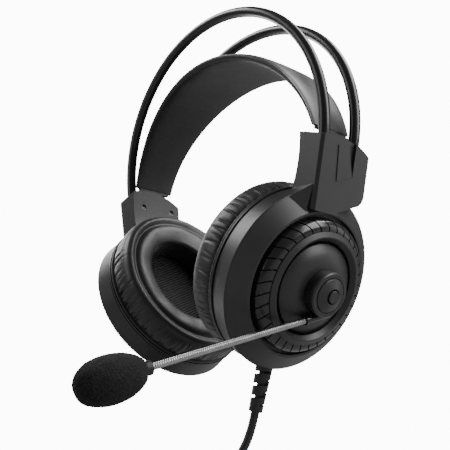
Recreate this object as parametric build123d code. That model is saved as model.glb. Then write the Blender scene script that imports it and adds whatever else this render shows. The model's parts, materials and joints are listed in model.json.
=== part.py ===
from build123d import *
import math
import os

# Over-ear gaming headset. Millimetres, +Z up, +X to the wearer's left, -Y to the front.
# The origin is midway between the two cups, on the line that joins the ears.
#
# Cup pieces are modelled in a cup frame, then placed on the wearer's left and mirrored to
# the right. In that frame x runs to the back, y runs up and z runs outwards from the ear,
# so a point (r, t) of a turned profile is at radius r and station t outwards from the
# cup's reference plane, which the padded cushion face stands in front of.

# ---- Driving dimensions ----------------------------------------------------------------

# Placing of the cups
cup_spread = 31.0            # from the middle of the head to a cup's reference plane
toe_in = 25.4                # degrees that a cup's axis dips outwards

# Ear cushion and what closes the cup on the inside
cushion_radius = 47.3
cushion_depth = 14.7
cushion_crown = 4.0          # padding in front of the reference plane
cushion_roll = 5.0           # rounding of the cushion's two outer edges
ear_radius_x = 24.3
ear_radius_y = 26.2
ear_shift = -4.5             # the ear opening sits forward of the cup's centre
baffle_thickness = 2.0
baffle_step = 1.0            # depth of the flange that shows round the baffle
baffle_groove_radius = 45.2
screen_radius = 27.5
screen_thickness = 0.6
screen_clearance = 0.3

# Cup housing
band_back_radius = 46.8
band_radius = 48.0
band_depth = 10.8
rim_radius = 39.0
rim_station = 34.0
rim_width = 1.6
recess_depth = 3.0
housing_wall = 2.3
seam = 0.1                   # gap between neighbouring trim pieces

# Rings and dome on the outer face
tread_radius = 35.3
tread_crest = 39.4
tread_shoulder = 34.6
tread_blocks = 34
tread_groove_width = 0.8
tread_groove_depth = 1.5
tread_hook = 1.2             # how far a groove bows before it hooks round at the shoulder
trim_outer_radius = 29.8
trim_crest_radius = 27.4
trim_inner_radius = 24.8
trim_crest = 41.2
dome_radius = 23.3
dome_edge = 39.4
dome_top = 43.6
dome_wall = 2.0
dome_swell = 1.1             # how far the dome bulges past a plain cone

# Speaker
driver_radius = 20.0
driver_depth = 5.0
magnet_radius = 11.0
magnet_depth = 4.0
sound_hole_radius = 3.2
sound_hole_circle = 11.0
sound_hole_count = 5
centre_hole_radius = 4.5

# Fasteners
screw_head_radius = 2.2
screw_radius = 1.1
baffle_screw_circle = 41.0
baffle_screw_count = 4

# Bracket arm above the cup
arm_front = 15.2             # front face, forward of the cup's axis
arm_back = 21.0
arm_cover = 2.2
cover_screw_height = 64.6
cover_screw_front = -7.2
cover_screw_back = 14.9
cover_hole_radius = 1.9
cover_screw_seat = 15.5      # station where the screw heads bear
cover_screw_length = 4.5
channel_clearance = 0.4
plaque_lift = 0.45
channel_depth = 9.0          # room under the slider for the elastic

# Headband tubes: two arcs of an ellipse, one in front of the other
tube_radius = 3.0
tube_wall = 0.8
tube_reach = 52.6            # from a cup's reference plane out to a tube's widest point
tube_rise = 80.4
tube_centre_height = 71.8
tube_centre_y = 2.8
tube_half_gap = 12.1
tube_splay = 0.05            # the tubes part by this much for each millimetre of height
tube_tail = 14.0             # degrees that a tube runs down into its bracket
tube_seat_clearance = 0.05

# Suspension strap
strap_reach = 45.5           # from a cup's reference plane out to the strap's inner face
strap_inner_rise = 68.6
strap_end_thickness = 2.9
strap_outer_rise = 76.0
strap_centre_height = 51.0
strap_y = 3.5
strap_half_top = 23.5
strap_half_end = 12.7
strap_end_height = 65.8
clip_height = 1.4
clip_inset = 1.5             # how far the clip stops short of the strap's edges
slider_width = 12.0
slider_thickness = 3.2
slider_length = 24.8
elastic_width = 7.0
elastic_thickness = 1.6

# Microphone, turning about the left cup's axis
shaft_radius = 4.0
shaft_clearance = 0.05
hub_radius = 11.3
hub_station = 43.9
knob_radius = 11.6
knob_back = 48.4
knob_front = 50.4
cap_radius = 8.7
cap_rise = 2.2
button_radius = 3.2
button_rise = 0.7
button_travel = 0.8
button_gap = 0.7
boom_station = 46.0
boom_offset = 11.8
boom_dip = 19.6              # degrees that the boom points down from straight ahead
socket_radius = 2.1
socket_length = 12.0
boom_radius = 1.65
boom_end = 101.0              # along the boom, from the point nearest the hub's axis
holder_radius = 3.3
holder_length = 8.5
capsule_radius = 3.0
capsule_length = 4.0
foam_radius = 11.3
foam_start = 102.8
foam_length = 34.4

# Cord
cord_diameter = 4.5
relief_station = 21.5
relief_tilt = 17.0           # degrees from straight down, towards the other cup
relief_length = 27.0
relief_root_radius = 4.5
relief_tip_radius = 3.7
relief_cuts = 6
relief_cut_width = 1.4
relief_cut_reach = 1.0       # how far each cut goes past the middle
relief_cut_slant = 12.0
ground = -128.0              # the height that the stored cord lies on
coil_radius = 25.0
coil_columns = 3
coil_rows = 4
coil_centre_y = -34.0
coil_inset = 7.1             # how far inward of the relief's tip the cord joins the coil
tie_width = 9.0
tie_wall = 0.8
plug_body_radius = 4.4
plug_body_length = 26.0
plug_pin_radius = 1.75
plug_pin_length = 14.0
plug_heading = 110.0         # degrees about the vertical, from +X

# ---- Sizes that follow -----------------------------------------------------------------

baffle_back = cushion_depth + baffle_thickness
band_front = baffle_back + band_depth
floor_out = rim_station - recess_depth
floor_in = floor_out - housing_wall
recess_radius = rim_radius - rim_width
cord_radius = cord_diameter / 2
tube_half_width = cup_spread + tube_reach
strap_inner_width = cup_spread + strap_reach
strap_outer_width = strap_inner_width + strap_end_thickness

sin_toe = math.sin(math.radians(toe_in))
cos_toe = math.cos(math.radians(toe_in))
cup_plane = Plane(origin=(cup_spread, 0, 0), x_dir=(0, 1, 0), z_dir=(cos_toe, 0, -sin_toe))


# ---- Helpers ---------------------------------------------------------------------------

def turned(points):
    """Solid turned about the cup's axis from a closed profile of (radius, station) points."""
    return revolve(Plane.XZ * make_face(Polyline(*points, close=True)), Axis.Z, 360)


def disc(radius, low, high):
    """Round plate on the cup's axis between two stations."""
    return Pos(0, 0, low) * Cylinder(radius, high - low, align=(Align.CENTER, Align.CENTER, Align.MIN))


def ring(outer, inner, low, high):
    """Flat ring on the cup's axis between two stations."""
    return disc(outer, low, high) - disc(inner, low, high)


def left(shape):
    """Move a piece from the cup frame to the wearer's left cup."""
    return cup_plane.location * shape


def right(shape):
    """Mirror a placed left piece to the wearer's right."""
    return mirror(shape, about=Plane.YZ)


def rod(start, end, start_radius, end_radius=None):
    """Round rod or cone between two points."""
    axis = Vector(*end) - Vector(*start)
    tip = start_radius if end_radius is None else end_radius
    low = (Align.CENTER, Align.CENTER, Align.MIN)
    if abs(tip - start_radius) < 1e-6:
        body = Cylinder(start_radius, axis.length, align=low)
    else:
        body = Cone(start_radius, tip, axis.length, align=low)
    return Plane(origin=start, z_dir=axis).location * body


def in_circle(count, radius, piece):
    """Copies of a piece spread evenly round the cup's axis."""
    spots = [Rot(0, 0, 360 * i / count + 45) * Pos(radius, 0, 0) for i in range(count)]
    return [spot * piece for spot in spots]


# ---- Ear cups --------------------------------------------------------------------------

def ear_opening(extra, low, high):
    """Oval space for the ear, as a prism along the cup's axis."""
    oval = Ellipse(ear_radius_x + extra, ear_radius_y + extra)
    return Pos(ear_shift, 0, low) * extrude(oval, high - low)


def cushion():
    """Ring cushion with rounded outer edges, an oval opening and a seat for the screen."""
    body = disc(cushion_radius, -cushion_crown, cushion_depth)
    body = fillet(body.edges().filter_by(GeomType.CIRCLE), cushion_roll)
    body -= ear_opening(0, -cushion_crown - 1, cushion_depth + 1)
    seat = Pos(ear_shift, 0, cushion_depth - screen_thickness - screen_clearance)
    body -= seat * Cylinder(
        screen_radius + screen_clearance, cushion_depth, align=(Align.CENTER, Align.CENTER, Align.MIN)
    )
    return body


def screen():
    """Acoustic mesh that covers the baffle inside the cushion."""
    return Pos(ear_shift, 0, 0) * disc(screen_radius, cushion_depth - screen_thickness, cushion_depth)


def baffle():
    """Plate that closes the cup, with a stepped edge, a speaker seat and screw holes."""
    plate = disc(cushion_radius, cushion_depth, cushion_depth + baffle_step)
    plate += disc(baffle_groove_radius, cushion_depth + baffle_step, baffle_back)
    for hole in in_circle(sound_hole_count, sound_hole_circle, Cylinder(sound_hole_radius, 60)):
        plate -= hole
    plate -= Cylinder(centre_hole_radius, 60)
    for hole in in_circle(baffle_screw_count, baffle_screw_circle, Cylinder(screw_radius, 60)):
        plate -= hole
    return plate


def baffle_screws():
    """Screws that hold the baffle, one solid each."""
    head = Pos(0, 0, baffle_back + 0.9) * Cylinder(screw_head_radius, 1.8)
    shank = Pos(0, 0, cushion_depth + 1.4) * Cylinder(screw_radius - 0.05, 3.6)
    shank = shank & disc(band_radius, cushion_depth + 0.2, baffle_back + 2)
    slot = Pos(0, 0, baffle_back + 1.8) * Box(0.6, 3.0, 0.8)
    return Compound(in_circle(baffle_screw_count, baffle_screw_circle, head + shank - slot))


def driver_frame():
    """Speaker basket behind the baffle."""
    return turned([
        (driver_radius, baffle_back),
        (driver_radius, baffle_back + 1.2),
        (driver_radius - 2.5, baffle_back + driver_depth),
        (magnet_radius - 2.0, baffle_back + driver_depth),
        (magnet_radius - 2.0, baffle_back + driver_depth - 1.0),
        (driver_radius - 3.6, baffle_back + driver_depth - 1.0),
        (driver_radius - 1.6, baffle_back),
    ])


def driver_diaphragm():
    """Domed speaker diaphragm, seated in the basket."""
    low = baffle_back + 0.6
    shell = turned([
        (0, low + 1.6),
        (7.0, low + 0.6),
        (13.0, low + 1.2),
        (driver_radius - 2.2, low),
        (driver_radius - 2.2, low + 0.3),
        (13.0, low + 1.5),
        (7.0, low + 0.9),
        (0, low + 1.9),
    ])
    return shell


def driver_magnet():
    """Magnet on the back of the basket."""
    low = baffle_back + driver_depth
    return ring(magnet_radius, 2.0, low, low + magnet_depth)


def tread_ring():
    """Ring moulded like a tyre shoulder: curved grooves part it into blocks."""
    inner = trim_outer_radius + seam

    def shoulder(drop):
        top = tread_crest - drop
        side = tread_radius - drop
        outline = Line((inner, floor_out), (inner, top))
        outline += ThreePointArc(
            (inner, top),
            (inner + (side - inner) * 0.72, top - (tread_crest - tread_shoulder) * 0.32),
            (side, tread_shoulder - drop),
        )
        outline += Line((side, tread_shoulder - drop), (side, floor_out))
        outline += Line((side, floor_out), (inner, floor_out))
        return revolve(Plane.XZ * make_face(outline), Axis.Z, 360)

    reach = tread_radius + 1.0
    hook = math.radians(15.0)
    half = tread_groove_width / 2
    start = inner - 0.5
    bend = (start + reach) / 2 + 0.6
    end = (reach * math.cos(hook), reach * math.sin(hook))
    strip = Line((start, -half), (start, half))
    strip += ThreePointArc((start, half), (bend, half + tread_hook), (end[0], end[1] + half))
    strip += Line((end[0], end[1] + half), (end[0], end[1] - half))
    strip += ThreePointArc((end[0], end[1] - half), (bend, tread_hook - half), (start, -half))
    groove = Pos(0, 0, floor_out) * extrude(make_face(strip), 20)
    grooves = [Rot(0, 0, 360 * i / tread_blocks) * groove for i in range(tread_blocks)]
    core = shoulder(tread_groove_depth)
    blocks = shoulder(0) - grooves
    return core + blocks


def trim_ring():
    """Ridge between the tread and the dome: a bevel outside, a shallow slope inside."""
    return turned([
        (trim_inner_radius, floor_out),
        (trim_outer_radius, floor_out),
        (trim_outer_radius, tread_crest + 0.5),
        (trim_crest_radius, trim_crest),
        (trim_crest_radius - 0.5, trim_crest),
        (trim_inner_radius, dome_edge - 0.4),
    ])


def dome(bore):
    """Rounded dome inside the trim ring, bored for the microphone's shaft or plain."""
    crown = (hub_radius + 0.2, dome_top)
    edge = (dome_radius - 0.6, dome_edge)
    swell = ((crown[0] + edge[0]) / 2, (crown[1] + edge[1]) / 2 + dome_swell)
    outline = Polyline(
        crown,
        (bore, dome_top),
        (bore, floor_out),
        (bore + 2.5, floor_out),
        (bore + 2.5, dome_top - dome_wall),
        (hub_radius, dome_top - dome_wall - 0.3),
        (dome_radius - dome_wall, dome_edge - dome_wall),
        (dome_radius - dome_wall, floor_out),
        (dome_radius, floor_out),
        (dome_radius, dome_edge - 0.5),
        edge,
    )
    outline += ThreePointArc(edge, swell, crown)
    return revolve(Plane.XZ * make_face(outline), Axis.Z, 360)


def blank_cap():
    """Domed cap that closes the dome of the cup without a microphone."""
    low = dome_top
    cap = turned([
        (0, low),
        (hub_radius, low),
        (hub_radius, low + 2.0),
        (hub_radius - 1.0, low + 2.8),
        (cap_radius, low + 2.8),
        (cap_radius - 0.4, low + 2.3),
        (cap_radius - 0.8, low + 2.8),
        (0, low + 4.4),
    ])
    spigot = disc(shaft_radius, floor_out, low)
    return cap + spigot


def arm_block():
    """Solid arm that rises from the cup: a curved side view cut by a shaped front view."""
    side = Line((38.0, 17.5), (48.9, 17.3))
    side += ThreePointArc((48.9, 17.3), (62.0, 14.9), (73.2, 10.6))
    side += Line((73.2, 10.6), (80.0, 7.5))
    side += Line((80.0, 7.5), (80.0, 26.2))
    side += Line((80.0, 26.2), (38.0, 36.2))
    side += Line((38.0, 36.2), (38.0, 17.5))
    slab = Plane.YZ * make_face(side)
    slab = Pos(-arm_front, 0, 0) * extrude(slab, arm_front + arm_back)
    rise = 0.125
    front = Line((-arm_front, 30.0), (-arm_front, 71.9))
    front += ThreePointArc((-arm_front, 71.9), (-arm_front / 2, 73.6), (2.0, 73.6))
    front += ThreePointArc((2.0, 73.6), (12.0, 71.6), (arm_back, 67.6))
    front += Line((arm_back, 67.6), (arm_back, 47.0))
    front += ThreePointArc((arm_back, 47.0), (arm_back - 1.7, 42.6), (arm_back - 6.0, 40.2))
    front += Line((arm_back - 6.0, 40.2), (3.0, 35.0))
    front += Line((3.0, 35.0), (3.0, 30.0))
    front += Line((3.0, 30.0), (-arm_front, 30.0))
    tower = extrude(make_face(front), 45, dir=(0, rise, 1))
    block = slab & tower
    corner = [
        edge
        for edge in block.edges()
        if abs(edge.center().X + arm_front) < 0.2 and edge.center().Z > 26 and edge.length > 20
    ]
    return chamfer(corner, 1.5)


def cover_layer(block):
    """The part of the arm that its inner cover takes up."""
    skin = Line((38.0, 17.5), (48.9, 17.3))
    skin += ThreePointArc((48.9, 17.3), (62.0, 14.9), (73.2, 10.6))
    skin += Line((73.2, 10.6), (80.0, 7.5))
    skin += Line((80.0, 7.5), (80.0, 7.5 + arm_cover))
    skin += Line((80.0, 7.5 + arm_cover), (73.2, 10.6 + arm_cover))
    skin += ThreePointArc(
        (73.2, 10.6 + arm_cover), (62.0, 14.9 + arm_cover), (48.9, 17.3 + arm_cover)
    )
    skin += Line((48.9, 17.3 + arm_cover), (38.0, 17.5 + arm_cover))
    skin += Line((38.0, 17.5 + arm_cover), (38.0, 17.5))
    layer = Plane.YZ * make_face(skin)
    layer = Pos(-arm_front - 5, 0, 0) * extrude(layer, arm_front + arm_back + 10)
    return layer & block & (Pos(0, band_radius + 25, 0) * Box(90, 50, 90))


def fairing():
    """Faceted flare that runs the arm's front ridge down on to the cone."""
    ridge = (-arm_front + 0.2, 50.5, 31.2)
    wing = (-25.0, 40.6, 27.4)
    foot = (-16.6, 36.2, 33.4)
    root = (-arm_front + 0.2, 45.5, 18.5)
    inside = (-8.0, 40.0, 24.0)

    def tetra(a, b, c, d):
        corners = [(a, b, c), (a, c, d), (a, d, b), (b, d, c)]
        faces = [make_face(Polyline(*corner, close=True)) for corner in corners]
        return Solid(Shell([face.face() for face in faces]))

    return tetra(ridge, wing, foot, inside) + tetra(ridge, root, wing, inside)


def plaque():
    """Raised trapezoid on the arm's outer face, with nothing on it."""
    outline = make_face(Polyline((-3.2, 72.4), (4.6, 73.6), (9.4, 58.6), (-1.6, 54.6), close=True))
    return extrude(outline, 60)


def wedge_slot():
    """Tapered slot beside the plaque, under the back tube."""
    outline = make_face(Polyline((-0.6, 90.0), (10.8, 90.0), (10.1, 58.4), (9.6, 58.4), close=True))
    return extrude(outline, 60)


def outer_skin(depth, lift):
    """Layer of the arm's sloping outer face, from depth below it to lift above it."""
    face = make_face(Polyline(
        (80.0, 26.2 - depth), (80.0, 26.2 + lift), (38.0, 36.2 + lift), (38.0, 36.2 - depth), close=True
    ))
    return Pos(-40, 0, 0) * extrude(Plane.YZ * face, 80)


def housing_shell(bore):
    """Turned cup shell: cylindrical band, cone, rim and the recess for the rings."""
    return turned([
        (band_back_radius, baffle_back),
        (band_radius, band_front - 0.6),
        (band_radius - 0.5, band_front),
        (rim_radius + 0.2, rim_station - 0.4),
        (rim_radius - 0.4, rim_station),
        (recess_radius, rim_station),
        (recess_radius, floor_out),
        (bore, floor_out),
        (bore, floor_in),
        (recess_radius - 2.0, floor_in),
        (band_radius - housing_wall, band_front - 1.6),
        (band_back_radius - housing_wall, baffle_back),
    ])


def tube_path(side, start, end):
    """Ellipse that a headband tube follows; side is -1 in front and 1 behind."""
    lean = Plane(
        origin=(0, tube_centre_y + side * tube_half_gap, tube_centre_height),
        x_dir=(1, 0, 0),
        z_dir=(0, -1, side * tube_splay),
    )
    return lean * EllipticalCenterArc(
        (0, 0), tube_half_width, tube_rise, start_angle=start, arc_size=end - start
    )


def tube_along(side, radius, start, end):
    """Round rod along a headband tube's ellipse."""
    path = tube_path(side, start, end)
    return sweep(Plane(origin=path @ 0, z_dir=path % 0) * Circle(radius), path=path)


def headband_tube(side):
    """Hollow steel tube that springs the headset together."""
    outer = tube_along(side, tube_radius, -tube_tail, 180 + tube_tail)
    return outer - tube_along(side, tube_radius - tube_wall, -tube_tail, 180 + tube_tail)


def slider_box(extra):
    """Space that a strap slider takes in the left arm, grown by extra all round."""
    middle = (strap_inner_width + strap_outer_width) / 2 - 1.6
    return (
        middle - slider_thickness / 2 - extra,
        middle + slider_thickness / 2 + extra,
        strap_y - slider_width / 2 - extra,
        strap_y + slider_width / 2 + extra,
    )


def upright(bounds, low, high):
    """Box from (x0, x1, y0, y1) and two heights."""
    x0, x1, y0, y1 = bounds
    return Pos((x0 + x1) / 2, (y0 + y1) / 2, (low + high) / 2) * Box(x1 - x0, y1 - y0, high - low)


slider_top = strap_end_height - 0.4
slider_bottom = slider_top - slider_length
channel_bottom = slider_bottom - channel_depth


def relief_frame():
    """Plane at the strain relief's root, pointing down along it, in the headset's frame."""
    root = left(Pos(0, -(band_back_radius - 1.5), relief_station)).position
    tilt = math.radians(relief_tilt)
    return Plane(origin=root, x_dir=(0, 1, 0), z_dir=(-math.sin(tilt), 0, -math.cos(tilt)))


def cup_housing(has_microphone):
    """Cup shell and arm in one moulding, placed on the wearer's left."""
    bore = shaft_radius + 0.6 if has_microphone else 2.0
    block = arm_block()
    core = disc(band_back_radius - housing_wall - 0.3, -5, floor_in) - ring(60, rim_radius, 27, 60)
    arm = block - cover_layer(block) + (plaque() & outer_skin(3.0, plaque_lift))
    arm -= wedge_slot() & outer_skin(1.8, 3.0)
    for place in (cover_screw_front, cover_screw_back):
        arm -= Pos(place, cover_screw_height, 0) * disc(
            screw_radius + 0.05, 0, cover_screw_seat + cover_screw_length + 0.1
        )
    arm -= core
    arm -= disc(recess_radius, floor_out, 60)
    body = left(housing_shell(bore) + arm + (fairing() - core - disc(recess_radius, floor_out, 60)))
    x0, x1, y0, y1 = slider_box(channel_clearance)
    body -= upright((x0 - 12.0, x1, y0, y1), channel_bottom, strap_end_height + 20)
    for side in (-1, 1):
        body -= tube_along(side, tube_radius + tube_seat_clearance, -tube_tail, 20)
    if has_microphone:
        body -= relief_frame().location * Cylinder(relief_root_radius + 0.1, 14)
    return body


def arm_cover_plate():
    """Inner cover of the arm, with two countersunk screw holes."""
    plate = cover_layer(arm_block())
    for place in (cover_screw_front, cover_screw_back):
        plate -= Pos(place, cover_screw_height, 0) * disc(cover_hole_radius, 0, cover_screw_seat)
        plate -= Pos(place, cover_screw_height, 0) * disc(screw_radius + 0.1, 0, 30)
    plate = left(plate)
    for side in (-1, 1):
        plate -= tube_along(side, tube_radius + tube_seat_clearance, -tube_tail, 20)
    return plate


def cover_screws():
    """Two screws sunk in the cover's holes, one solid each."""
    shank = disc(screw_radius, cover_screw_seat, cover_screw_seat + cover_screw_length)
    head = disc(cover_hole_radius - 0.1, cover_screw_seat - 1.0, cover_screw_seat)
    screw = head + shank - Pos(0, 0, cover_screw_seat - 1.0) * Box(0.5, 2.4, 0.9)
    return Compound([Pos(x, cover_screw_height, 0) * screw for x in (cover_screw_front, cover_screw_back)])


# ---- Suspension strap ------------------------------------------------------------------

def strap():
    """Padded band that rests on the head, wide at the top and narrow at its ends."""
    centre = Plane.XZ.offset(-strap_y)
    crown = centre * Pos(0, strap_centre_height)
    outer = extrude(crown * Ellipse(strap_outer_width, strap_outer_rise), 40, both=True)
    inner = extrude(crown * Ellipse(strap_inner_width, strap_inner_rise), 50, both=True)
    end = strap_outer_width
    outline = Line((-end, strap_y - strap_half_end), (-end, strap_y + strap_half_end))
    outline += ThreePointArc(
        (-end, strap_y + strap_half_end), (0, strap_y + strap_half_top), (end, strap_y + strap_half_end)
    )
    outline += Line((end, strap_y + strap_half_end), (end, strap_y - strap_half_end))
    outline += ThreePointArc(
        (end, strap_y - strap_half_end), (0, strap_y - strap_half_top), (-end, strap_y - strap_half_end)
    )
    plan = extrude(make_face(outline), 200)
    band = (outer - inner) & plan
    return band & (Pos(0, 0, strap_end_height + 100) * Box(200, 100, 200))


def strap_clip():
    """Bar under the left end of the strap, which joins it to its slider."""
    x0 = strap_inner_width - 1.4
    x1 = strap_outer_width - 2.0
    half = strap_half_end - clip_inset
    return upright((x0, x1, strap_y - half, strap_y + half), strap_end_height - clip_height, strap_end_height)


def strap_slider():
    """Tongue on the strap's left end, running in the arm's channel."""
    return upright(slider_box(0), slider_bottom, strap_end_height - clip_height)


def strap_elastic():
    """Rubber cord between the channel's floor and the slider, drawing the strap down."""
    x0, x1, y0, y1 = slider_box(0)
    middle = (x0 + x1) / 2
    bounds = (
        middle - elastic_thickness / 2,
        middle + elastic_thickness / 2,
        strap_y - elastic_width / 2,
        strap_y + elastic_width / 2,
    )
    return upright(bounds, channel_bottom, slider_bottom)


# ---- Microphone ------------------------------------------------------------------------

boom_heading = Vector(
    -math.cos(math.radians(boom_dip)), -math.sin(math.radians(boom_dip)), 0
)
boom_side = Vector(math.sin(math.radians(boom_dip)), -math.cos(math.radians(boom_dip)), 0)


def boom_point(along):
    """Point on the boom's line, measured from where it passes nearest the hub's axis."""
    return boom_side * boom_offset + boom_heading * along + Vector(0, 0, boom_station)


def mic_hub():
    """Turning neck with its shaft through the dome."""
    neck = disc(hub_radius, hub_station, knob_back)
    neck += disc(shaft_radius, floor_in - 3.0, hub_station)
    return neck


def hub_clip():
    """Retaining ring on the shaft, inside the cup."""
    return ring(7.0, shaft_radius, floor_in - 2.0, floor_in - 0.4)


def mic_knob():
    """Knob rim that the fingers turn."""
    rim = disc(knob_radius, knob_back, knob_front)
    rim = chamfer(rim.edges().group_by(Axis.Z)[-1], 0.6)
    pocket = disc(cap_radius + 0.5, knob_front - 1.0, knob_front + 1)
    return rim - pocket - disc(button_radius + button_gap, knob_back - 1, knob_front + 1)


def mic_cap():
    """Domed cap in the knob, bored for the button."""
    low = knob_front - 1.0
    cap = turned([
        (button_radius + button_gap, low),
        (cap_radius, low),
        (cap_radius, low + 1.2),
        (cap_radius - 0.5, low + 1.5),
        (button_radius + button_gap + 0.3, low + 1.0 + cap_rise),
        (button_radius + button_gap, low + 0.9 + cap_rise),
    ])
    return cap


def mic_button():
    """Push button in the middle of the cap."""
    low = knob_back + button_travel + 0.2
    high = knob_front + cap_rise + button_rise
    button = disc(button_radius, low, high)
    return fillet(button.edges().group_by(Axis.Z)[-1], 0.4)


def boom_socket():
    """Tube on the hub that takes the boom, with a collar at its mouth."""
    socket = rod(boom_point(-4.0), boom_point(socket_length), socket_radius)
    socket += rod(boom_point(socket_length - 1.6), boom_point(socket_length), socket_radius + 0.35)
    return socket - disc(hub_radius, 0, 60) - disc(knob_radius + 0.1, knob_back, 60)


def boom():
    """Flexible metal boom."""
    return rod(boom_point(socket_length), boom_point(boom_end), boom_radius)


def capsule_holder():
    """Housing of the microphone capsule at the boom's end."""
    outer = rod(boom_point(boom_end), boom_point(boom_end + holder_length), holder_radius)
    return outer - rod(
        boom_point(boom_end + holder_length - capsule_length),
        boom_point(boom_end + holder_length + 1),
        capsule_radius,
    )


def capsule():
    """Microphone capsule, in the mouth of its holder."""
    return rod(
        boom_point(boom_end + holder_length - capsule_length),
        boom_point(boom_end + holder_length - 0.4),
        capsule_radius,
    )


def windscreen():
    """Foam cover: an egg with a pocket for the capsule holder."""
    middle = foam_start + foam_length / 2
    egg = Solid.revolve(
        (Plane.XZ * (Ellipse(foam_radius, foam_length / 2) & Pos(foam_radius, 0) * Rectangle(
            2 * foam_radius, foam_length + 2
        ))).face(),
        360,
        Axis.Z,
    )
    egg = Plane(origin=boom_point(middle), z_dir=boom_heading).location * egg
    pocket = rod(boom_point(foam_start - 5), boom_point(boom_end + holder_length + 0.2), holder_radius)
    return egg - pocket


# ---- Cord ------------------------------------------------------------------------------

def relief():
    """Tapered strain relief with cuts from alternate sides."""
    low = (Align.CENTER, Align.CENTER, Align.MIN)
    body = Cylinder(relief_root_radius, 4.0, align=low)
    body += Pos(0, 0, 4.0) * Cone(relief_root_radius, relief_tip_radius, relief_length - 4.0, align=low)
    spacing = (relief_length - 8.0) / relief_cuts
    for i in range(relief_cuts):
        side = 1 if i % 2 else -1
        middle = side * (relief_root_radius - relief_cut_reach)
        place = Pos(middle, 0, 6.5 + spacing * i) * Rot(side * relief_cut_slant, 0, 0)
        body -= place * Box(2 * relief_root_radius, 20, relief_cut_width)
    return relief_frame().location * body


relief_tip = relief_frame().origin + relief_frame().z_dir * relief_length
coil_top = ground + tie_wall + coil_rows * cord_diameter
coil_bottom = ground + tie_wall
entry_height = coil_top - cord_radius
outer_turn = coil_radius + (coil_columns - 1) / 2 * cord_diameter
coil_edge = relief_tip.X - coil_inset
coil_centre = (coil_edge - outer_turn, coil_centre_y)



def below_tip(inward, back, height):
    """Point of the cord's route, by how far inward of the relief's tip it lies."""
    return (relief_tip.X - inward, back, height)


cord_route = [
    tuple(relief_tip),
    below_tip(2.6, 0.0, -84.5),
    below_tip(4.8, -3.0, -94.1),
    below_tip(6.1, -9.0, -102.3),
    below_tip(6.7, -17.2, -108.3),
    below_tip(coil_inset, -26.9, entry_height),
    (coil_edge, coil_centre_y, entry_height),
]

tail_start = coil_centre[0] - outer_turn
tail_route = [
    (tail_start, coil_centre_y, ground + 3.1),
    (tail_start - 0.5, -24.5, ground + 2.9),
    (tail_start - 2.3, -15.0, ground + 3.4),
    (tail_start - 5.6, -6.0, ground + 4.3),
    (tail_start - 8.3, 1.4, ground + 4.4),
]


def rounded(points):
    """Tangent-arc path through a cord's points; each arc is as large as its runs allow."""
    vectors = [Vector(*point) for point in points]
    radii = []
    for before, here, after in zip(vectors, vectors[1:], vectors[2:]):
        turn = (here - before).get_angle(after - here)
        run = min((here - before).length, (after - here).length)
        radii.append(0.45 * run / math.tan(math.radians(turn / 2)))
    print("cord radii", [round(radius, 1) for radius in radii])
    return FilletPolyline(*vectors, radius=radii)


def cord_piece(points):
    """Round cord along a route."""
    path = rounded(points)
    solid = sweep(Plane(origin=path @ 0, z_dir=path % 0) * Circle(cord_radius), path=path)
    ratio = solid.volume / (math.pi * cord_radius**2 * path.length)
    print("cord length", round(path.length, 1), "volume ratio", round(ratio, 4))
    return solid


def coil_section(extra):
    """Radii of the coil's inside and outside, grown by extra."""
    half = coil_columns * cord_diameter / 2 + extra
    return coil_radius - half, coil_radius + half


def coil():
    """Outer shape of the wound cord."""
    inner, outer = coil_section(0)
    return Pos(coil_centre[0], coil_centre[1], 0) * ring(outer, inner, coil_bottom, coil_top)


def tie():
    """Band wrapped once round the coil."""
    inner, outer = coil_section(tie_wall)
    low = ground
    high = coil_top + tie_wall
    block = Pos(-(inner + outer) / 2, 0, (low + high) / 2) * Box(outer - inner, tie_width, high - low)
    band = Rot(0, 0, 80) * block
    band = Pos(coil_centre[0], coil_centre[1], 0) * band
    return band - coil()


plug_direction = Vector(math.cos(math.radians(plug_heading)), math.sin(math.radians(plug_heading)), 0)
plug_start = Vector(*tail_route[-1])


def plug_body():
    """Moulded grip of the jack plug with a tapered neck."""
    neck = plug_start + plug_direction * 8.0
    end = plug_start + plug_direction * plug_body_length
    body = rod(plug_start, neck, cord_radius + 0.5, plug_body_radius)
    return body + rod(neck, end, plug_body_radius)


def plug_pin():
    """Four-pole 3.5 mm jack pin with its insulating rings and pointed tip."""
    turned_pin = turned([
        (0, 0),
        (plug_pin_radius, 0),
        (plug_pin_radius, plug_pin_length - 3.4),
        (plug_pin_radius - 0.4, plug_pin_length - 2.8),
        (plug_pin_radius - 0.1, plug_pin_length - 1.6),
        (0.5, plug_pin_length),
        (0, plug_pin_length),
    ])
    base = plug_start + plug_direction * plug_body_length
    return Plane(origin=base, z_dir=plug_direction).location * turned_pin


# ---- Write every piece -----------------------------------------------------------------

def write(name, shape):
    """Write one sub-part as a STEP file."""
    export_step(shape, f"parts/{name}.step")


os.makedirs("parts", exist_ok=True)

pairs = {
    "ear_cushion": left(cushion()),
    "mesh_screen": left(screen()),
    "baffle": left(baffle()),
    "baffle_screws": left(baffle_screws()),
    "driver_frame": left(driver_frame()),
    "driver_diaphragm": left(driver_diaphragm()),
    "driver_magnet": left(driver_magnet()),
    "tread_ring": left(tread_ring()),
    "trim_ring": left(trim_ring()),
    "arm_cover": arm_cover_plate(),
    "cover_screws": left(cover_screws()),
    "strap_clip": strap_clip(),
    "strap_slider": strap_slider(),
    "strap_elastic": strap_elastic(),
}
for name, shape in pairs.items():
    write(name + "_left", shape)
    write(name + "_right", right(shape))

write("cup_housing_left", cup_housing(True))
write("cup_housing_right", right(cup_housing(False)))
write("dome_left", left(dome(shaft_radius + shaft_clearance)))
write("dome_right", right(left(dome(shaft_radius))))
write("blank_cap_right", right(left(blank_cap())))

write("headband_tube_front", headband_tube(-1))
write("headband_tube_back", headband_tube(1))
write("suspension_strap", strap())

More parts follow.
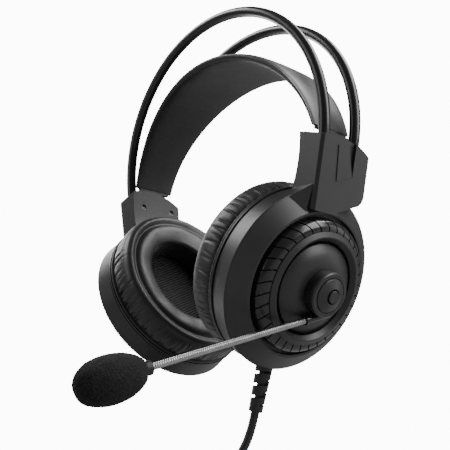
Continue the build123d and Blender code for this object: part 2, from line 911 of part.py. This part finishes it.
write("mic_hub", left(mic_hub()))
write("mic_hub_clip", left(hub_clip()))
write("mic_knob", left(mic_knob()))
write("mic_knob_cap", left(mic_cap()))
write("mute_button", left(mic_button()))
write("boom_socket", left(boom_socket()))
write("mic_boom", left(boom()))
write("capsule_holder", left(capsule_holder()))
write("mic_capsule", left(capsule()))
write("foam_windscreen", left(windscreen()))

write("strain_relief", relief())
write("cord_lead", cord_piece(cord_route))
write("cord_coil", coil())
write("cord_tie", tie())
write("cord_tail", cord_piece(tail_route))
write("plug_body", plug_body())
write("plug_pin", plug_pin())
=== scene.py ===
import json
import math
import random

import bmesh
import bpy
from mathutils import Matrix, Vector, noise


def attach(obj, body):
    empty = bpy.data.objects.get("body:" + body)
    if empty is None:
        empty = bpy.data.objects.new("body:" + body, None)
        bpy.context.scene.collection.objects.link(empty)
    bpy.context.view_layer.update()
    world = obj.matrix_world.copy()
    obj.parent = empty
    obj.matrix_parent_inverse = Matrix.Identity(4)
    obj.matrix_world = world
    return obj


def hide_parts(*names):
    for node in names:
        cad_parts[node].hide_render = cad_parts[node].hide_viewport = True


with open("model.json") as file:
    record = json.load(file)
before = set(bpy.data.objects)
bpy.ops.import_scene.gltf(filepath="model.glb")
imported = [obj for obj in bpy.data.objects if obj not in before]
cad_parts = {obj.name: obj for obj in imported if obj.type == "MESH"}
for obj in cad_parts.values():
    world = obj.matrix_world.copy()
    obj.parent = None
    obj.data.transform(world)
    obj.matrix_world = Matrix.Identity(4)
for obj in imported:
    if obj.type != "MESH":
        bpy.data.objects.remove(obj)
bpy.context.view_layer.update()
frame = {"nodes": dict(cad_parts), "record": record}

MM = 0.001
TAU = 2 * math.pi

# ---- Sizes shared with the CAD model, in millimetres -------------------------------------

CUP_SPREAD = 31.0
TOE_IN = math.radians(25.4)
CUSHION_RADIUS = 47.3
EAR_X, EAR_Y, EAR_SHIFT = 24.3, 26.2, -4.5
STRAP_Y = 3.5
STRAP_CENTRE_Z = 51.0
STRAP_INNER = (76.5, 68.6)
STRAP_OUTER = (79.4, 76.0)
STRAP_END_Z = 65.8
STRAP_HALF_TOP, STRAP_HALF_END = 23.5, 12.7
HUB_STATION_BOOM = 46.0
BOOM_OFFSET = 11.8
BOOM_DIP = math.radians(19.6)
BOOM_FROM, BOOM_TO, BOOM_RADIUS = 12.0, 101.0, 1.65
FOAM_FROM, FOAM_LENGTH, FOAM_RADIUS = 102.8, 34.4, 11.3
GROUND = -128.0
CORD_DIAMETER = 4.5
RELIEF_TILT = math.radians(17.0)
RELIEF_RADIUS, RELIEF_STATION = 46.8 - 1.5, 21.5
RELIEF_LENGTH = 27.0
COIL_CENTRE = (-13.5, -34.0)
COIL_RADIUS = 25.0
COIL_COLUMNS, COIL_ROWS = 3, 4
TIE_WALL = 0.8


def cup_point(x, y, t):
    """A point of the left cup's frame, x to the back, y up, t outwards, in metres."""
    out = Vector((math.cos(TOE_IN), 0, -math.sin(TOE_IN)))
    back = Vector((0, 1, 0))
    up = out.cross(back)
    return (Vector((CUP_SPREAD, 0, 0)) + back * x + up * y + out * t) * MM


def mirrored(point):
    """The same point on the right cup."""
    return Vector((-point.x, point.y, point.z))


# ---- Camera ------------------------------------------------------------------------------

def make_camera():
    """Camera low in front of the left cup, turned a little about its own axis."""
    azimuth, elevation, roll = math.radians(48.4), math.radians(-14.35), math.radians(0.39)
    target = Vector((-0.78, -0.88, 28.63)) * MM
    distance = 0.47415
    back = Vector((
        math.sin(azimuth) * math.cos(elevation),
        -math.cos(azimuth) * math.cos(elevation),
        math.sin(elevation),
    ))
    right = Vector((math.cos(azimuth), math.sin(azimuth), 0))
    up = back.cross(right)
    tilted_right = right * math.cos(roll) + up * math.sin(roll)
    tilted_up = up * math.cos(roll) - right * math.sin(roll)
    data = bpy.data.cameras.new("camera")
    data.lens = 66.14
    data.sensor_width = 36.0
    data.clip_start = 0.01
    camera = bpy.data.objects.new("camera", data)
    bpy.context.collection.objects.link(camera)
    turn = Matrix((tilted_right, tilted_up, back)).transposed().to_4x4()
    camera.matrix_world = Matrix.Translation(target + back * distance) @ turn
    bpy.context.scene.camera = camera


make_camera()


# ---- Material tools ----------------------------------------------------------------------

class Nodes:
    """A material's node tree with short ways to add and join nodes."""

    def __init__(self, name):
        self.material = bpy.data.materials.new(name)
        self.material.use_nodes = True
        self.tree = self.material.node_tree
        self.shader = self.tree.nodes["Principled BSDF"]
        self.place = self.add("ShaderNodeTexCoord").outputs["Object"]

    def add(self, kind, **settings):
        node = self.tree.nodes.new(kind)
        for key, value in settings.items():
            setattr(node, key, value)
        return node

    def join(self, source, target):
        self.tree.links.new(source, target)

    def noise(self, scale, detail=3.0, rough=0.5, place=None):
        node = self.add("ShaderNodeTexNoise")
        node.inputs["Scale"].default_value = scale
        node.inputs["Detail"].default_value = detail
        node.inputs["Roughness"].default_value = rough
        self.join(place or self.place, node.inputs["Vector"])
        return node.outputs["Fac"]

    def cells(self, scale, feature="F1", place=None):
        node = self.add("ShaderNodeTexVoronoi", feature=feature)
        node.inputs["Scale"].default_value = scale
        self.join(place or self.place, node.inputs["Vector"])
        return node.outputs["Distance"]

    def math(self, operation, first, second=None):
        node = self.add("ShaderNodeMath", operation=operation)
        self.join(first, node.inputs[0])
        if second is not None:
            node.inputs[1].default_value = second
        return node.outputs[0]

    def ribs(self, direction, period):
        """Even ribs across a direction, the same on both sides of the middle plane."""
        parts = self.add("ShaderNodeSeparateXYZ")
        self.join(self.place, parts.inputs[0])
        whole = self.add("ShaderNodeCombineXYZ")
        self.join(self.math("ABSOLUTE", parts.outputs["X"]), whole.inputs["X"])
        self.join(parts.outputs["Y"], whole.inputs["Y"])
        self.join(parts.outputs["Z"], whole.inputs["Z"])
        along = self.add("ShaderNodeVectorMath", operation="DOT_PRODUCT")
        self.join(whole.outputs[0], along.inputs[0])
        along.inputs[1].default_value = direction
        return self.math("SINE", self.math("MULTIPLY", along.outputs["Value"], TAU / period))

    def ramp(self, source, low, high, start=0.3, end=0.7):
        node = self.add("ShaderNodeValToRGB")
        node.color_ramp.elements[0].position = start
        node.color_ramp.elements[1].position = end
        node.color_ramp.elements[0].color = (*low, 1)
        node.color_ramp.elements[1].color = (*high, 1)
        self.join(source, node.inputs["Fac"])
        return node.outputs["Color"]

    def span(self, source, low, high):
        node = self.add("ShaderNodeMapRange")
        node.inputs["To Min"].default_value = low
        node.inputs["To Max"].default_value = high
        self.join(source, node.inputs["Value"])
        return node.outputs["Result"]

    def bump(self, height, strength, distance, below=None):
        node = self.add("ShaderNodeBump")
        node.inputs["Strength"].default_value = strength
        node.inputs["Distance"].default_value = distance
        self.join(height, node.inputs["Height"])
        if below is not None:
            self.join(below, node.inputs["Normal"])
        return node.outputs["Normal"]

    def finish(self, colour, rough, normal, **sockets):
        self.join(colour, self.shader.inputs["Base Color"])
        self.join(rough, self.shader.inputs["Roughness"])
        self.join(normal, self.shader.inputs["Normal"])
        for key, value in sockets.items():
            self.shader.inputs[key.replace("_", " ")].default_value = value
        return self.material


def grey(value):
    """Near-neutral grey, very slightly blue."""
    return (value, value, value * 1.03)


def moulded(name, dark, light, rough_low, rough_high, grain=0.02, coat=0.0):
    """Moulded plastic: fine spark-eroded grain, faint colour drift and handling marks."""
    n = Nodes(name)
    drift = n.noise(35.0, 2.0)
    marks = n.noise(260.0, 5.0, 0.65)
    colour = n.ramp(drift, grey(dark), grey(light))
    rough = n.span(marks, rough_low, rough_high)
    fine = n.bump(n.noise(5200.0, 2.0), 0.25, grain * MM)
    return n.finish(colour, rough, fine, Coat_Weight=coat, Coat_Roughness=0.12)


def leatherette(name):
    """Soft coated fabric: small pebbled cells, fine creases and a slight sheen."""
    n = Nodes(name)
    pebbles = n.cells(1500.0, "DISTANCE_TO_EDGE")
    creases = n.noise(420.0, 6.0, 0.7)
    colour = n.ramp(n.noise(55.0, 3.0), grey(0.009), grey(0.016))
    rough = n.span(creases, 0.32, 0.50)
    first = n.bump(creases, 0.35, 0.10 * MM)
    grain = n.bump(pebbles, 0.45, 0.06 * MM, first)
    return n.finish(colour, rough, grain, Sheen_Weight=0.15, Sheen_Roughness=0.4)


def mesh_cloth(name):
    """Ribbed acoustic mesh: diagonal cords crossed by fine yarns."""
    n = Nodes(name)
    rib_way, rib_pitch = (0.386, -0.437, 0.813), 1.5 * MM
    yarn_way, yarn_pitch = (0.188, 0.899, 0.395), 0.55 * MM
    ribs = n.ribs(rib_way, rib_pitch)
    yarns = n.ribs(yarn_way, yarn_pitch)
    colour = n.ramp(ribs, grey(0.002), grey(0.045), 0.35, 1.0)
    rough = n.span(yarns, 0.6, 0.85)
    first = n.bump(ribs, 0.9, 0.5 * MM)
    return n.finish(colour, rough, n.bump(yarns, 0.1, 0.02 * MM, first))


def foam_stuff(name):
    """Open-cell foam: crowded dark pores between dull struts."""
    n = Nodes(name)
    pores = n.cells(1150.0)
    clumps = n.noise(700.0, 6.0, 0.8)
    colour = n.ramp(pores, grey(0.013), grey(0.002), 0.15, 0.75)
    rough = n.span(clumps, 0.86, 1.0)
    first = n.bump(clumps, 0.8, 0.35 * MM)
    return n.finish(colour, rough, n.bump(pores, 0.9, 0.3 * MM, first))


def rubbery(name, dark, light, rough_low, rough_high):
    """Moulded elastomer: silky, with dust-fine mottling."""
    n = Nodes(name)
    colour = n.ramp(n.noise(120.0, 3.0), grey(dark), grey(light))
    rough = n.span(n.noise(900.0, 4.0), rough_low, rough_high)
    return n.finish(colour, rough, n.bump(n.noise(2600.0, 3.0), 0.3, 0.03 * MM))


def metal(name, dark, light, rough_low, rough_high, warm=1.0):
    """Bare or plated metal with drawing lines and slight tarnish."""
    n = Nodes(name)
    tarnish = n.noise(180.0, 4.0)
    colour = n.ramp(tarnish, (dark * warm, dark, dark), (light * warm, light, light))
    rough = n.span(n.noise(1400.0, 5.0, 0.7), rough_low, rough_high)
    lines = n.bump(n.noise(3200.0, 2.0), 0.2, 0.02 * MM)
    return n.finish(colour, rough, lines, Metallic=1.0)


def woven_tape(name):
    """Hook-and-loop tape: short fuzzy loops in rows."""
    n = Nodes(name)
    loops = n.cells(1700.0)
    colour = n.ramp(loops, grey(0.05), grey(0.015))
    rough = n.span(n.noise(500.0), 0.8, 1.0)
    return n.finish(colour, rough, n.bump(loops, 0.8, 0.25 * MM), Sheen_Weight=0.3)


MATERIALS = {
    "shell_plastic": moulded("shell_plastic", 0.022, 0.028, 0.34, 0.44),
    "inner_plastic": moulded("inner_plastic", 0.008, 0.012, 0.42, 0.55),
    "gloss_plastic": moulded("gloss_plastic", 0.010, 0.014, 0.22, 0.32, 0.002, 0.25),
    "leatherette": leatherette("leatherette"),
    "mesh": mesh_cloth("mesh"),
    "diaphragm": moulded("diaphragm", 0.18, 0.25, 0.15, 0.3, 0.01),
    "magnet": metal("magnet", 0.25, 0.35, 0.35, 0.5),
    "steel": metal("steel", 0.42, 0.55, 0.25, 0.4),
    "steel_black": metal("steel_black", 0.03, 0.05, 0.3, 0.45),
    "bright_steel": metal("bright_steel", 0.38, 0.52, 0.22, 0.34),
    "tube_paint": moulded("tube_paint", 0.006, 0.009, 0.24, 0.34, 0.01, 0.15),
    "rubber": rubbery("rubber", 0.012, 0.018, 0.42, 0.56),
    "foam": foam_stuff("foam"),
    "cord_jacket": rubbery("cord_jacket", 0.012, 0.018, 0.36, 0.5),
    "tie": woven_tape("tie"),
    "plug_metal": metal("plug_metal", 0.55, 0.72, 0.14, 0.26, 1.04),
}

for part in frame["record"]["subparts"]:
    node = frame["nodes"][part["node"]]
    for place in node.material_slots:
        place.link = "OBJECT"
        place.material = MATERIALS[part["material_slot"]]


# ---- Mesh tools --------------------------------------------------------------------------

def mesh_object(name, points, faces, slot):
    """Smooth-shaded piece from points and faces, with its normals turned outwards."""
    mesh = bpy.data.meshes.new(name)
    mesh.from_pydata([tuple(point) for point in points], [], faces)
    shape = bmesh.new()
    shape.from_mesh(mesh)
    bmesh.ops.recalc_face_normals(shape, faces=shape.faces)
    shape.to_mesh(mesh)
    shape.free()
    mesh.polygons.foreach_set("use_smooth", [True] * len(mesh.polygons))
    mesh.materials.append(MATERIALS[slot])
    piece = bpy.data.objects.new(name, mesh)
    bpy.context.collection.objects.link(piece)
    return piece


def grid_faces(rows, columns, wrap_rows, wrap_columns):
    """Quads over a grid of points, closed on itself where asked."""
    faces = []
    for i in range(rows if wrap_rows else rows - 1):
        for j in range(columns if wrap_columns else columns - 1):
            below, beside = (i + 1) % rows, (j + 1) % columns
            faces.append((
                i * columns + j, i * columns + beside,
                below * columns + beside, below * columns + j,
            ))
    return faces


def tube_faces(rows, columns):
    """Faces of a tube of points, row by row, with a flat cap on each end."""
    faces = grid_faces(rows, columns, False, True)
    faces.append(tuple(range(columns)))
    faces.append(tuple((rows - 1) * columns + j for j in reversed(range(columns))))
    return faces


def smooth_once(piece):
    """One level of subdivision."""
    rounding = piece.modifiers.new("rounding", "SUBSURF")
    rounding.levels = 1
    rounding.render_levels = 1


# ---- Cord --------------------------------------------------------------------------------

def coil_turns():
    """Control points of the wound cord: rows from the top down, out to in and back."""
    steps = 16
    outer = COIL_RADIUS + (COIL_COLUMNS - 1) / 2 * CORD_DIAMETER
    columns = [outer - i * CORD_DIAMETER for i in range(COIL_COLUMNS)]
    turns = []
    for row in range(COIL_ROWS):
        height = GROUND + TIE_WALL + (COIL_ROWS - row - 0.5) * CORD_DIAMETER
        order = columns if row % 2 == 0 else columns[::-1]
        turns += [(radius, height) for radius in order]
    last_step = len(turns) * steps - steps // 2
    stretch = 1 / math.cos(math.pi / steps) ** 0.5
    level_part, climb_part = 0.7, 0.3
    points = []
    for step in range(last_step + 1):
        index, along = divmod(step, steps)
        radius, height = turns[index]
        late = max(0.0, (along / steps - level_part) / climb_part)
        if index + 1 < len(turns):
            ease = late * late * (3 - 2 * late)
            radius += (turns[index + 1][0] - radius) * ease
            height += (turns[index + 1][1] - height) * ease
        angle = -TAU * along / steps
        points.append((
            COIL_CENTRE[0] + radius * stretch * math.cos(angle),
            COIL_CENTRE[1] + radius * stretch * math.sin(angle),
            height,
        ))
    return points


def make_cord():
    """Cord from the strain relief down to the coil, round it, and out to the plug."""
    root = cup_point(0, -RELIEF_RADIUS, RELIEF_STATION) / MM
    down = Vector((-math.sin(RELIEF_TILT), 0, -math.cos(RELIEF_TILT)))
    tip = root + down * RELIEF_LENGTH
    lead = [
        tuple(tip),
        (20.5, 0.0, -84.5),
        (18.3, -3.0, -94.1),
        (17.0, -9.0, -102.3),
        (16.4, -17.2, -108.3),
        (16.0, -26.9, -111.45),
    ]
    tail = [
        (-43.5, -24.5, GROUND + 2.9),
        (-45.3, -15.0, GROUND + 3.4),
        (-48.6, -6.0, GROUND + 4.3),
        (-51.3, 1.4, GROUND + 4.4),
    ]
    route = lead + coil_turns() + tail
    curve = bpy.data.curves.new("cord", "CURVE")
    curve.dimensions = "3D"
    curve.resolution_u = 6
    curve.bevel_depth = CORD_DIAMETER / 2 * MM
    curve.bevel_resolution = 5
    curve.use_fill_caps = True
    spline = curve.splines.new("NURBS")
    spline.points.add(len(route) - 1)
    for point, place in zip(spline.points, route):
        point.co = (place[0] * MM, place[1] * MM, place[2] * MM, 1)
    spline.order_u = 3
    spline.use_endpoint_u = True
    spline.use_smooth = True
    cord = bpy.data.objects.new("cord", curve)
    bpy.context.collection.objects.link(cord)
    curve.materials.append(MATERIALS["cord_jacket"])
    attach(cord, "headset")
    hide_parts("cord_lead", "cord_coil", "cord_tail")


make_cord()


# ---- Ear cushions ------------------------------------------------------------------------

CUSHION_PROFILE = [
    # fraction from the ear opening to the outer edge, depth from the face in millimetres
    (0.00, 13.4), (0.00, 10.5), (0.001, 6.0), (0.004, 2.0), (0.010, -0.6), (0.035, -2.0),
    (0.09, -2.7), (0.18, -3.1), (0.28, -3.4), (0.38, -3.6), (0.47, -3.6), (0.54, -3.3),
    (0.595, -2.6), (0.63, -2.0), (0.665, -2.0), (0.70, -2.6), (0.76, -3.2), (0.83, -3.2),
    (0.90, -2.5), (0.955, -1.0), (0.99, 1.2), (0.998, 3.5), (0.998, 6.5), (0.99, 9.2),
    (0.965, 11.2), (0.93, 12.0), (0.905, 12.35), (0.93, 12.7), (0.975, 12.9), (0.99, 13.5),
    (0.985, 14.2), (0.96, 14.6), (0.80, 14.6), (0.45, 14.6), (0.25, 14.6), (0.10, 14.0),
]


def wrinkles(seed):
    """Radial creases of the side wall: angle, width, depth, reach and slant of each."""
    source = random.Random(seed)
    found = []
    angle = 0.0
    while angle < 360.0:
        found.append((
            angle,
            source.uniform(0.45, 0.95),
            source.uniform(0.45, 1.25),
            source.uniform(0.4, 1.1),
            source.uniform(-3.0, 3.0),
        ))
        angle += source.choice((source.uniform(1.8, 3.0), source.uniform(3.0, 7.5)))
    return found


def crease_depth(creases, angle, level):
    """How far the side wall is drawn in, at an angle and a level from face 0 to lip 1."""
    deepest = 1.5
    total = 0.0
    for centre, width, depth, reach, slant in creases:
        gap = (angle - centre - slant * level + 180) % 360 - 180
        if abs(gap) < 4 * width:
            fade = max(0.0, 1 - (1 - level) / reach)
            total += depth * math.exp(-(gap / width) ** 2) * fade
    return min(total, deepest)


def make_cushion(name, node, seed, flip):
    """Leatherette ring from the oval ear opening to the round outer edge, its side creased."""
    around = 960
    inner_wall, outer_wall = 0.12, 0.88
    wall_top, wall_foot, wall_depth = -2.0, 12.2, 13.0
    creases = wrinkles(seed)
    points = []
    for i in range(around):
        turn = TAU * i / around
        inner = Vector((EAR_SHIFT + EAR_X * math.cos(turn), EAR_Y * math.sin(turn)))
        outer = Vector((CUSHION_RADIUS * math.cos(turn), CUSHION_RADIUS * math.sin(turn)))
        for part, depth in CUSHION_PROFILE:
            spot = inner.lerp(outer, part)
            if part > outer_wall and wall_top < depth < wall_foot:
                level = min(1.0, (depth - wall_top) / wall_depth)
                pull = crease_depth(creases, 360 * i / around, level)
                spot *= 1 - pull / spot.length
            if part < inner_wall and 2.0 < depth < wall_depth:
                pull = 0.3 * crease_depth(creases, 360 * i / around + 3, 0.7)
                spot += (inner.lerp(outer, 0.5) - spot).normalized() * pull
            if depth < -1.0:
                swell = noise.noise(Vector((spot.x, spot.y, seed)) * 0.09)
                depth += 0.2 + 0.3 * swell
            point = cup_point(spot.x, spot.y, depth)
            points.append(mirrored(point) if flip else point)
    faces = grid_faces(around, len(CUSHION_PROFILE), True, True)
    piece = mesh_object(name, points, faces, "leatherette")
    smooth_once(piece)
    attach(piece, "headset")
    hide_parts(node)


make_cushion("cushion_left", "ear_cushion_left", 4, False)
make_cushion("cushion_right", "ear_cushion_right", 9, True)


# ---- Suspension strap --------------------------------------------------------------------

def strap_section():
    """Cross-section: across from -1 to 1, and height from 0 inside to 1 outside."""
    return [
        (-1.0, 0.50), (-0.985, 0.30), (-0.95, 0.14), (-0.90, 0.10), (-0.80, 0.03),
        (-0.55, 0.0), (-0.25, 0.0), (0.0, 0.0), (0.25, 0.0), (0.55, 0.0),
        (0.80, 0.03), (0.90, 0.10), (0.95, 0.14), (0.985, 0.30), (1.0, 0.50),
        (0.985, 0.66), (0.955, 0.72), (0.935, 0.64), (0.905, 0.72), (0.84, 0.85),
        (0.68, 0.94), (0.45, 0.985), (0.2, 1.0), (0.0, 1.0), (-0.2, 1.0), (-0.45, 0.985),
        (-0.68, 0.94), (-0.84, 0.85), (-0.905, 0.72), (-0.935, 0.64), (-0.955, 0.72),
        (-0.985, 0.66),
    ]


def make_strap():
    """Padded band along its arch, widest on top, with both long edges stitched down."""
    # the rows crowd together at both ends, so that smoothing leaves the ends square
    steps = [0.0, 0.001, 0.003] + [i / 120 for i in range(1, 120)] + [0.997, 0.999, 1.0]
    start = math.asin((STRAP_END_Z - STRAP_CENTRE_Z) / STRAP_OUTER[1])
    section = strap_section()
    inset, ripple_height = 0.25, 0.3
    points = []
    for step in steps:
        angle = start + (math.pi - 2 * start) * step
        inside = Vector((STRAP_INNER[0] * math.cos(angle), STRAP_INNER[1] * math.sin(angle)))
        outside = Vector((STRAP_OUTER[0] * math.cos(angle), STRAP_OUTER[1] * math.sin(angle)))
        share = 1 - (inside.x / STRAP_OUTER[0]) ** 2
        half = STRAP_HALF_END + (STRAP_HALF_TOP - STRAP_HALF_END) * max(0.0, share) ** 0.9
        for across, height in section:
            spot = inside.lerp(outside, height)
            ripple = noise.noise(Vector((angle * 5.0, across * 1.6, 2.0))) * ripple_height
            if 0.05 < height < 0.95:
                ripple = 0.0
            side = 1 if height > 0.5 else -1
            spot -= (outside - inside).normalized() * (inset + ripple) * side
            z = max(STRAP_CENTRE_Z + spot.y, STRAP_END_Z + 0.05)
            points.append(Vector((spot.x, STRAP_Y + across * half, z)) * MM)
    faces = tube_faces(len(steps), len(section))
    piece = mesh_object("strap_pad", points, faces, "leatherette")
    smooth_once(piece)
    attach(piece, "strap")
    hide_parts("suspension_strap")


make_strap()


# ---- Microphone boom and windscreen ------------------------------------------------------

def boom_frame():
    """Start of the boom's line, its heading, and two directions across it."""
    heading = Vector((-math.cos(BOOM_DIP), -math.sin(BOOM_DIP)))
    side = Vector((math.sin(BOOM_DIP), -math.cos(BOOM_DIP)))
    origin = cup_point(side.x * BOOM_OFFSET, side.y * BOOM_OFFSET, HUB_STATION_BOOM)
    ahead = cup_point(
        side.x * BOOM_OFFSET + heading.x, side.y * BOOM_OFFSET + heading.y, HUB_STATION_BOOM
    )
    along = (ahead - origin).normalized()
    outward = (cup_point(0, 0, 1) - cup_point(0, 0, 0)).normalized()
    return origin, along, outward, along.cross(outward)


def make_boom():
    """Gooseneck wound from round wire: one ridge for each turn."""
    origin, along, first, second = boom_frame()
    pitch = 1.15
    groove = 0.32
    per_turn = 6
    around = 24
    rows = int((BOOM_TO - BOOM_FROM) / pitch * per_turn)
    points = []
    for i in range(rows + 1):
        reach = BOOM_FROM + (BOOM_TO - BOOM_FROM) * i / rows
        for j in range(around):
            angle = TAU * j / around
            phase = TAU * reach / pitch + angle
            radius = BOOM_RADIUS - groove * (0.5 - 0.5 * math.cos(phase))
            across = first * math.cos(angle) + second * math.sin(angle)
            points.append(origin + along * reach * MM + across * radius * MM)
    faces = tube_faces(rows + 1, around)
    piece = mesh_object("gooseneck", points, faces, "bright_steel")
    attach(piece, "microphone")
    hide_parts("mic_boom")


def make_windscreen():
    """Foam egg with an uneven, pored surface and a soft mouth round the holder."""
    origin, along, first, second = boom_frame()
    rows, around = 150, 220
    mouth, sweep = 0.045, 0.945
    inset = 0.3
    bumps = ((3.0, 0.25), (22.0, 0.16), (55.0, 0.14))
    middle = FOAM_FROM + FOAM_LENGTH / 2
    points = []
    for i in range(rows + 1):
        polar = math.pi * (mouth + sweep * i / rows)
        for j in range(around):
            angle = TAU * j / around
            unit = Vector((
                math.sin(polar) * math.cos(angle),
                math.sin(polar) * math.sin(angle),
                -math.cos(polar),
            ))
            rough = sum(noise.noise(unit * scale) * height for scale, height in bumps)
            size = 1 + (rough - inset) / FOAM_RADIUS
            blunt = math.sin(polar) ** -0.16 * (0.955 + 0.045 * unit.z)
            across = (first * unit.x + second * unit.y) * FOAM_RADIUS * size * blunt
            reach = middle + unit.z * FOAM_LENGTH / 2 * size
            points.append(origin + (along * reach + across) * MM)
    faces = tube_faces(rows + 1, around)
    piece = mesh_object("windscreen", points, faces, "foam")
    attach(piece, "microphone")
    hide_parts("foam_windscreen")


make_boom()
make_windscreen()


# ---- Stage and light ---------------------------------------------------------------------

def make_stage():
    """Round grey floor just under the object, dull enough to leave its lower faces dark."""
    n = Nodes("stage")
    colour = n.ramp(n.noise(3.0), (0.30, 0.30, 0.30), (0.33, 0.33, 0.33))
    rough = n.span(n.noise(20.0), 0.85, 0.95)
    paper = n.finish(colour, rough, n.bump(n.noise(400.0), 0.05, 0.05 * MM))
    mesh = bpy.data.meshes.new("floor")
    reach, sides = 1.2, 96
    gap = 0.6
    z = (GROUND - gap) * MM
    turns = [TAU * i / sides for i in range(sides)]
    rim = [(reach * math.cos(turn), reach * math.sin(turn), z) for turn in turns]
    mesh.from_pydata(rim, [], [tuple(range(sides))])
    mesh.materials.append(paper)
    floor = bpy.data.objects.new("floor", mesh)
    bpy.context.collection.objects.link(floor)


def area_light(name, place, aim, size, power, height=None):
    """Rectangular light at a place, turned towards a point."""
    data = bpy.data.lights.new(name, "AREA")
    data.shape = "RECTANGLE"
    data.size = size
    data.size_y = height or size
    data.energy = power
    light = bpy.data.objects.new(name, data)
    light.location = place
    light.rotation_euler = (Vector(place) - Vector(aim)).to_track_quat("Z", "Y").to_euler()
    bpy.context.collection.objects.link(light)


def make_lights():
    """Six soft lights, a dim surround, and white paper that only the camera sees."""
    area_light("key", (-0.6, -0.35, 0.75), (0, 0, 0.03), 0.4, 5.0)
    area_light("side", (0.8, 0.3, 0.6), (0, 0, 0), 0.5, 9.0, 0.9)
    area_light("far_side", (-0.95, 0.15, 0.05), (0, 0, 0.03), 0.6, 11.0, 0.9)
    area_light("top", (0.25, 0.45, 0.9), (0, 0, 0.05), 0.5, 7.5)
    area_light("front", (-0.4, -0.95, 0.4), (0, 0, 0), 0.6, 2.0)
    area_light("rim", (0.65, 0.85, 0.1), (0, 0, 0.03), 0.35, 1.2, 0.8)
    world = bpy.data.worlds.new("studio")
    world.use_nodes = True
    tree = world.node_tree
    soft = tree.nodes["Background"]
    soft.inputs["Color"].default_value = (1, 1, 1, 1)
    soft.inputs["Strength"].default_value = 0.15
    paper = tree.nodes.new("ShaderNodeBackground")
    paper.inputs["Color"].default_value = (1, 1, 1, 1)
    paper.inputs["Strength"].default_value = 12.0
    seen = tree.nodes.new("ShaderNodeLightPath")
    mix = tree.nodes.new("ShaderNodeMixShader")
    tree.links.new(seen.outputs["Is Camera Ray"], mix.inputs["Fac"])
    tree.links.new(soft.outputs["Background"], mix.inputs[1])
    tree.links.new(paper.outputs["Background"], mix.inputs[2])
    tree.links.new(mix.outputs["Shader"], tree.nodes["World Output"].inputs["Surface"])
    bpy.context.scene.world = world


make_stage()
make_lights()
